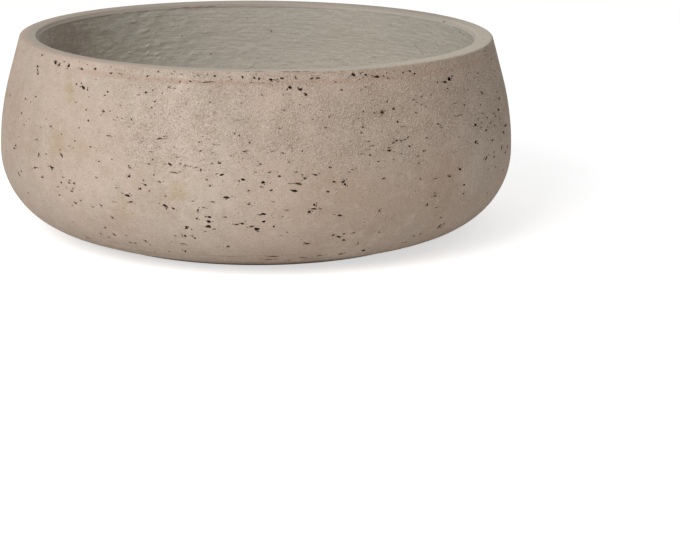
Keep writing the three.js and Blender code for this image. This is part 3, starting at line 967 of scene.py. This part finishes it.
cut = first("RealizeInstances", {"Geometry": cut})
cut = set_material(cut, pit_dirt_and_shade, maths("GREATER_THAN", below, DIRT_AND_SHADE_FROM))
node("NodeGroupOutput", {0: cut})

shell = made_by("cast_shell", shell_section, SHELL_SIZES)
bpy.data.objects.remove(notable_pits)
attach(shell, "bowl")
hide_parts("bowl_shell")


# Coat: a grey waterproof slurry, trowelled and brushed over the inside by hand. It bonds to the
# shell, feathers off just under the lip and keeps its strokes, drips and crumbs.
COAT_THICKNESS = 0.0015
COAT_SEAM = 0.0003  # behind the coat
COAT_TOP_DROP = 0.0014  # from the lip's face down to the coat's upper edge
COAT_STEP = 0.0013
COAT_BITE = 0.0002  # by which the upper edge is worked into the shell
RUMPLED_PLACE = (-0.100, 0.122, 0.100)  # where the slurry dried in thick ripples
RUMPLED_REACH = 0.075

COAT_SIZES = {
    "Facets": 480,
    "Stroke height": 0.00045,
    "Strokes": 300.0,  # to a metre
    "Ripple height": 0.0014,
    "Wave height": 0.0010,
    "Lump spacing": 0.004,
    "Lumps to a square metre": 3500.0,
    "Smallest lump": 0.0016,
    "Largest lump": 0.0042,
    "Seed": 3,
}

# The lumps and the dark marks that stand out on the back of the inside, given as the pits are
LUMPS = [
    (121.3, 14.0, 3.0, 1.8), (149.4, 13.3, 2.6, 1.5, 20), (170.4, 12.6, 3.0, 1.5, 30),
    (82.0, 22.4, 2.4, 1.6, 20), (165.5, 37.2, 4.0, 1.4, 15), (148.0, 45.6, 4.0, 2.0, 30),
    (135.4, 43.5, 3.0, 1.6), (120.6, 42.0, 3.4, 1.6, 30), (148.0, 52.0, 5.0, 2.4, 35),
    (159.2, 58.2, 4.4, 2.6, 30), (156.4, 54.0, 3.4, 1.6, 30), (129.8, 52.6, 3.0, 2.0),
    (129.0, 56.8, 3.6, 1.5), (110.0, 56.0, 4.0, 1.6, 20), (101.7, 51.9, 4.0, 1.8, 25),
    (104.5, 46.3, 4.0, 1.5, 20), (96.0, 44.2, 5.0, 1.5, 25), (192.0, 53.3, 3.0, 1.6, 30),
    (206.0, 32.0, 3.6, 1.5, 30), (234.0, 47.0, 3.0, 1.5), (336.0, 58.0, 3.0, 1.8, 20),
    (374.0, 56.0, 3.6, 2.2), (420.0, 52.0, 3.4, 1.8, -40),
]
LUMP_DEEPNESS = 0.45
COAT_MARKS = [
    (52.0, 47.5, 1.4, 1.2), (129.0, 53.5, 1.3, 1.0), (182.0, 36.0, 1.4, 1.1),
    (211.0, 54.0, 1.4, 1.2), (271.5, 31.0, 1.5, 1.2), (460.5, 32.4, 1.6, 1.2),
    (444.5, 21.5, 2.4, 1.0, 20), (186.0, 7.6, 9.0, 0.9, 2), (198.0, 7.2, 9.0, 1.0, 2),
    (210.0, 6.8, 9.0, 0.9, 2), (416.0, 46.6, 4.2, 0.6, -42), (421.5, 51.8, 4.2, 0.6, -42),
]

coat_outer = WALL + COAT_SEAM
coat_inner = coat_outer + COAT_THICKNESS
coat_top = BOWL_HEIGHT - COAT_TOP_DROP
coat_hole = DRAIN_RADIUS + DRAIN_CHAMFER
coat_foot = FLOOR + COAT_SEAM
coat_floor = coat_foot + COAT_THICKNESS
coat_back = inside_wall(coat_outer, HIDDEN_STEP)[::-1]
coat_face = inside_wall(coat_inner, COAT_STEP)
coat_edge = flank_at(coat_top, WALL - COAT_BITE)
coat_shoulder = flank_at(coat_top - COAT_THICKNESS, coat_inner)
coat_section = section_mesh("coat_section", [
    ([(coat_hole, coat_foot), coat_back[0]], 0.0, 0.0, 0.1),
    (coat_back, 0.0, 0.0, 0.1),
    ([flank_at(coat_top - 0.003, coat_outer), coat_edge], 0.0, 0.0, 0.1),
    (straight(coat_edge, coat_shoulder, 0.0007)[1:], 0.3, 0.0, 1.0),
    (straight(coat_shoulder, coat_face[0], COAT_STEP)[1:], 1.0, 1.0, 1.0),
    (coat_face, 1.0, 1.0, 1.0),
    (straight(coat_face[-1], (coat_hole, coat_floor), 0.003)[1:-1], 0.8, 0.5, 0.6),
    ([(coat_hole, coat_floor), (coat_hole, coat_foot)], 0.0, 0.0, 0.6),
])
lumps_seen = seen_marks("lumps_seen", LUMPS, LUMP_DEEPNESS)
marks_seen = seen_marks("marks_seen", COAT_MARKS)
COAT_SIZES["Rows"] = len(coat_section.vertices)
COAT_SIZES["Lumps seen"] = lumps_seen
COAT_SIZES["Marks seen"] = marks_seen

SLURRY_WARM = (0.640, 0.582, 0.512, 1.0)
SLURRY_GREEN = (0.580, 0.563, 0.490, 1.0)
SLURRY_PALE = (0.690, 0.650, 0.580, 1.0)
SLURRY_SHADE = (0.400, 0.345, 0.290, 1.0)
SLURRY_DARK = (0.150, 0.130, 0.100, 1.0)
# Patches of tone on the coat; the last, dark one on the left inner wall is painted shade.
COAT_PATCHES = [
    (-90, 124, 122, 50, SLURRY_GREEN, 0.9), (-118, 96, 127, 30, SLURRY_GREEN, 0.5),
    (110, 104, 128, 30, SLURRY_GREEN, 0.7), (142, 51, 128, 18, SLURRY_GREEN, 0.8),
    (33, 154, 118, 26, SLURRY_GREEN, 0.4), (-146, 62, 112, 58, SLURRY_SHADE, 0.82),
]

slurry, shader, place = new_material("sealing_slurry", 0.8, 0.3)
x, y, z = apart(place)
patch = noise(place, 9.0, 3.0, 0.5, 2.0)
colour = blended(ramped(patch, 0.46, 0.64, 0.0, 0.6), SLURRY_WARM, SLURRY_GREEN)
colour = patched_over(colour, place, COAT_PATCHES)
brush = noise(stretched(place, 30.0, 700.0), 1.0, 4.0, 0.6)
colour = blended(ramped(brush, 0.42, 0.7, 0.0, 0.35), colour, SLURRY_PALE)
dabs = noise(stretched(place, 190.0, 420.0), 1.0, 3.0, 0.6)
sand = noise(place, 800.0, 3.0, 0.6)
colour = blended(ramped(sand, 0.35, 0.62, 0.12, 0.0), colour, SLURRY_DARK)
# Painted shadow: a dark band along the coat's upper edge, under the lip, strongest at the left.
edge = product(ramped(z, coat_top - 0.0030, coat_top - 0.0018), ramped(x, -0.02, 0.09, 0.95, 0.35))
colour = blended(edge, colour, SLURRY_SHADE)
dots = specks(place, 130.0, 0.10, 0.12)
colour = blended(product(dots, 0.8), colour, SLURRY_DARK)
finished(shader, colour, (brush, 0.00040), (dabs, 0.00080), (sand, 0.00012))


def united(pieces):
    return first("MeshBoolean", {1: pieces}, operation="UNION", solver="MANIFOLD")


given = new_tree("brushed_coat", COAT_SIZES)
skin = turned(given["Geometry"], given["Facets"], given["Rows"])
position = first("InputPosition")
x, y, z = apart(position)
on_face = joined(x, y, attribute("length"))
strokes = noise(stretched(on_face, 0.08, 1.0), given["Strokes"], 3.0, 0.6)
ripples = noise(stretched(on_face, 0.5, 1.0), given["Strokes"], 2.0, 0.5, 7.0)
from_rumpled = vectors("DISTANCE", position, RUMPLED_PLACE)
rumpled = ramped(from_rumpled, RUMPLED_REACH, RUMPLED_REACH / 4, 0.7, 1.7)
waves = noise(position, 34.0, 3.0, 0.55, 5.0)
humps = ramped(noise(position, 120.0, 2.0, 0.5, 9.0), 0.52, 0.78)
rise = product(maths("SUBTRACT", strokes, 0.5), given["Stroke height"])
for more in (
    product(maths("SUBTRACT", waves, 0.5), given["Wave height"]),
    product(humps, given["Wave height"], 0.6),
    product(maths("SUBTRACT", ripples, 0.5), rumpled, given["Ripple height"]),
):
    rise = maths("ADD", rise, more)
skin = pushed(skin, product(rise, attribute("relief")))
skin = set_material(skin, slurry)
crowd = ramped(noise(position, 18.0, 2.0, 0.5, 4.0), 0.45, 0.65, 0.08, 1.0)
crumbs = strewn(
    skin, given["Lump spacing"], given["Lumps to a square metre"],
    product(attribute("dotted"), crowd), given["Seed"],
)
spread = maths("POWER", random_number(0.0, 1.0, 1), 2.0)
width = ramped(spread, 0.0, 1.0, given["Smallest lump"], given["Largest lump"], "LINEAR")
height = product(width, random_number(0.5, 0.9, 2))
size = joined(width, height, product(width, random_number(0.12, 0.3, 3)))
crumbs = stored(crumbs, "size", size, "FLOAT_VECTOR")
crumbs = stored(crumbs, "tilt", random_number(-0.3, 0.3, 4))
crumbs = first("JoinGeometry", {"Geometry": [crumbs, where_seen(given["Lumps seen"], skin)]})
crumbs = laid(crumbs, uneven_pebbles(slurry, 8, 5), 0.0)
scars = laid(where_seen(given["Marks seen"], skin), uneven_pebbles(pit_dirt_and_shade, 8, 6), 0.0)
whole = map_carried(carved(united([skin, crumbs]), scars), skin)
whole = smooth_but_for(whole, 50)
whole = first("RealizeInstances", {"Geometry": whole})
node("NodeGroupOutput", {0: whole})

coat = made_by("brushed_coat", coat_section, COAT_SIZES)
bpy.data.objects.remove(lumps_seen)
bpy.data.objects.remove(marks_seen)
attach(coat, "bowl")
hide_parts("sealing_coat")


# Drain plug: black rubber, moulded in one with its sealing beads and the tab that it is pulled
# by. It is pressed into the hole by hand and covers the edge of the coat with its head.
PLUG_PLAY = 0.0003
PLUG_TAPER = 0.0008
PLUG_TIP_HEIGHT = 0.0015
PLUG_TIP_CHAMFER = 0.001
PLUG_HEAD_RADIUS = 0.017
PLUG_HEAD_EDGE = 0.0018
PLUG_HEAD_CROWN = 0.0032
PLUG_RIM_ROUND = 0.0006
BEAD_COUNT = 2
BEAD_PITCH = 0.004
BEAD_PROUD = 0.0006
BEAD_WIDTH = 0.0016
HEAD_RING_RADIUS = 0.0125  # fine moulded ring on the head
HEAD_RING_WIDTH = 0.00045
HEAD_RING_DEPTH = 0.0003
TAB_WIDTH = 0.015
TAB_HEIGHT = 0.009
TAB_THICKNESS = 0.004
TAB_EDGE_ROUND = 0.0009
GRIP_LENGTH = 0.0082  # of the ribs across each face of the tab
GRIP_PROUD = 0.0004

plug_seat = coat_floor + PLUG_PLAY
plug_crown = plug_seat + PLUG_HEAD_CROWN
neck = DRAIN_RADIUS - PLUG_PLAY - BEAD_PROUD


def shank_at(height):
    return neck - PLUG_TAPER * (plug_seat - height) / (plug_seat - PLUG_TIP_HEIGHT)


shank = [
    (0.0, PLUG_TIP_HEIGHT), (shank_at(PLUG_TIP_HEIGHT) - PLUG_TIP_CHAMFER, PLUG_TIP_HEIGHT),
    (shank_at(PLUG_TIP_HEIGHT + PLUG_TIP_CHAMFER), PLUG_TIP_HEIGHT + PLUG_TIP_CHAMFER),
]
lowest_bead = FLOOR - DRAIN_CHAMFER - BEAD_WIDTH - (BEAD_COUNT - 1) * BEAD_PITCH
for bead in range(BEAD_COUNT):
    for step in range(9):
        height = lowest_bead + bead * BEAD_PITCH + BEAD_WIDTH * step / 8
        shank.append((shank_at(height) + BEAD_PROUD * math.sin(math.pi * step / 8), height))
head_shoulder = plug_seat + PLUG_HEAD_EDGE
crown_drop = PLUG_HEAD_CROWN - PLUG_HEAD_EDGE
dome_radius = (PLUG_HEAD_RADIUS**2 + crown_drop**2) / (2 * crown_drop)
head_rim = rounded(
    (neck, plug_seat), (PLUG_HEAD_RADIUS, plug_seat), (PLUG_HEAD_RADIUS, head_shoulder),
    PLUG_RIM_ROUND, 4,
) + rounded(
    (PLUG_HEAD_RADIUS, plug_seat), (PLUG_HEAD_RADIUS, head_shoulder), (0.0, plug_crown),
    PLUG_RIM_ROUND, 4,
)
head_top = []
for step in range(1, 41):
    radius = head_rim[-1][0] * (1 - step / 40)
    dome = plug_crown - dome_radius + math.sqrt(dome_radius**2 - radius**2)
    ring = math.exp(-((radius - HEAD_RING_RADIUS) / HEAD_RING_WIDTH) ** 2)
    head_top.append((radius, dome - HEAD_RING_DEPTH * ring))
plug_section = section_mesh("plug_section", [
    (shank, 0.0, 0.0, 1.0), ([(neck, plug_seat)], 0.0, 0.0, 1.0),
    (head_rim, 0.0, 0.0, 1.0), (head_top, 0.0, 0.0, 1.0),
])

# The tab, an upright leaf with a round top and soft edges
corner = TAB_WIDTH / 2
tab_foot = plug_seat + PLUG_HEAD_EDGE / 2
tab_shoulder = plug_crown + TAB_HEIGHT - corner
tab_outline = [(-corner, tab_foot), (corner, tab_foot)] + [
    (corner * math.cos(a), tab_shoulder + corner * math.sin(a))
    for a in np.linspace(0.0, math.pi, 33)
]
tab_half = TAB_THICKNESS / 2 - GRIP_PROUD
count = len(tab_outline)
tab_mesh = bpy.data.meshes.new("plug_tab")
tab_mesh.from_pydata(
    [(x, -tab_half, z) for x, z in tab_outline] + [(x, tab_half, z) for x, z in tab_outline],
    [],
    [tuple(range(count)), tuple(range(2 * count - 1, count - 1, -1))]
    + [(i, i + count, (i + 1) % count + count, (i + 1) % count) for i in range(count)],
)
tab_object = placed("plug_tab", tab_mesh)
soft_edge = tab_object.modifiers.new("soft edge", "BEVEL")
soft_edge.width = TAB_EDGE_ROUND
soft_edge.segments = 4
soft_edge.limit_method = "ANGLE"
soft_edge.angle_limit = math.radians(40)

PLUG_SIZES = {
    "Facets": 96,
    "Rows": len(plug_section.vertices),
    "Ribs": 3,  # across each face of the tab
    "Rib pitch": 0.0022,
    "Rib radius": GRIP_PROUD * 1.6,
    "Tab": tab_object,
}

RUBBER_BLACK = (0.022, 0.021, 0.020, 1.0)
RUBBER_DUSTY = (0.095, 0.088, 0.078, 1.0)
rubber, shader, place = new_material("plug_rubber", 0.55, 0.4)
bloom = noise(place, 90.0, 4.0, 0.6)
dust = noise(place, 1500.0, 2.0, 0.6)
colour = blended(ramped(bloom, 0.42, 0.7, 0.0, 0.5), RUBBER_BLACK, RUBBER_DUSTY)
colour = blended(ramped(dust, 0.6, 0.72, 0.0, 0.5), colour, RUBBER_DUSTY)
tree.links.new(ramped(bloom, 0.35, 0.7, 0.5, 0.75), shader.inputs["Roughness"])
finished(shader, colour, (bloom, 0.0001), (dust, 0.00005))

given = new_tree("moulded_plug", PLUG_SIZES)
plug_body = turned(given["Geometry"], given["Facets"], given["Rows"])
rib = out(node(
    "MeshCylinder",
    {"Vertices": 16, "Radius": given["Rib radius"], "Depth": GRIP_LENGTH}, fill_type="NGON",
), "Mesh")
rib_line = first(
    "MeshLine",
    {
        "Count": given["Ribs"],
        "Start Location": (0.0, 0.0, tab_shoulder + 0.0008),
        "Offset": joined(z=given["Rib pitch"]),
    },
)
ribs = [
    first("InstanceOnPoints", {
        "Points": moved(rib_line, (0.0, side * (tab_half - GRIP_PROUD * 0.6), 0.0)),
        "Instance": rib,
        "Rotation": first("EulerToRotation", {"Euler": (0.0, math.pi / 2, 0.0)}),
    })
    for side in (-1, 1)
]
plug_whole = smooth_but_for(united([plug_body, shape_of(given["Tab"])] + ribs), 38)
plug_whole = first("RealizeInstances", {"Geometry": plug_whole})
node("NodeGroupOutput", {0: set_material(plug_whole, rubber)})
plug = made_by("rubber_plug", plug_section, PLUG_SIZES)
bpy.data.objects.remove(tab_object)
for layer in list(plug.data.uv_layers):
    plug.data.uv_layers.remove(layer)
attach(plug, "plug")
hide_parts("drain_plug")


# Studio: a white table that keeps the bowl's soft shadow, one large soft lamp at the front left
# and even white light all round.
FLOOR_HALF_WIDTH = 4.0
FLOOR_WHITE = (0.88, 0.88, 0.88, 1.0)
LIGHT_WHITE = (1.0, 1.0, 1.0, 1.0)
FLOOR_GLOW = 0.60  # of the white that the camera sees, so that the table and backdrop match
WORLD_STRENGTH = 0.40
KEY_POWER = 16.0
KEY_SIZE = 0.9
KEY_DISTANCE = 1.8
KEY_SIDE = math.radians(-31)
KEY_ELEVATION = math.radians(33)


def looked_at():
    """1 for what the camera sees directly, in a reflection or through something, else 0."""
    path = node("LightPath")
    return maths("MAXIMUM", path.outputs["Is Camera Ray"], maths(
        "MAXIMUM", path.outputs["Is Glossy Ray"], path.outputs["Is Transmission Ray"],
    ))


edge = FLOOR_HALF_WIDTH
floor_mesh = bpy.data.meshes.new("floor")
floor_mesh.from_pydata(
    [(-edge, -edge, 0.0), (edge, -edge, 0.0), (edge, edge, 0.0), (-edge, edge, 0.0)], [],
    [(0, 1, 2, 3)],
)
floor = placed("floor", floor_mesh)
table, shader, _ = new_material("white_table", 0.9, 0.0)
shader.inputs["Base Color"].default_value = FLOOR_WHITE
glow = node("Emission", {"Color": LIGHT_WHITE, "Strength": product(looked_at(), FLOOR_GLOW)})
both = first("AddShader", {0: out(shader), 1: out(glow)})
tree.links.new(both, tree.nodes["Material Output"].inputs["Surface"])
floor_mesh.materials.append(table)

world = bpy.data.worlds.new("studio")
bpy.context.scene.world = world
world.use_nodes = True
tree = world.node_tree
backdrop = tree.nodes["Background"]
backdrop.inputs["Color"].default_value = LIGHT_WHITE
strength = ramped(looked_at(), 0.0, 1.0, WORLD_STRENGTH, 1.0, "LINEAR")
tree.links.new(strength, backdrop.inputs["Strength"])

lamp = bpy.data.lights.new("key", "AREA")
lamp.energy = KEY_POWER
lamp.size = KEY_SIZE
key = placed("key", lamp)
key.location = (
    KEY_DISTANCE * math.cos(KEY_ELEVATION) * math.sin(KEY_SIDE),
    -KEY_DISTANCE * math.cos(KEY_ELEVATION) * math.cos(KEY_SIDE),
    KEY_DISTANCE * math.sin(KEY_ELEVATION),
)
key.rotation_euler = (-key.location).to_track_quat("-Z", "Y").to_euler()

bpy.context.scene.view_settings.view_transform = "Standard"
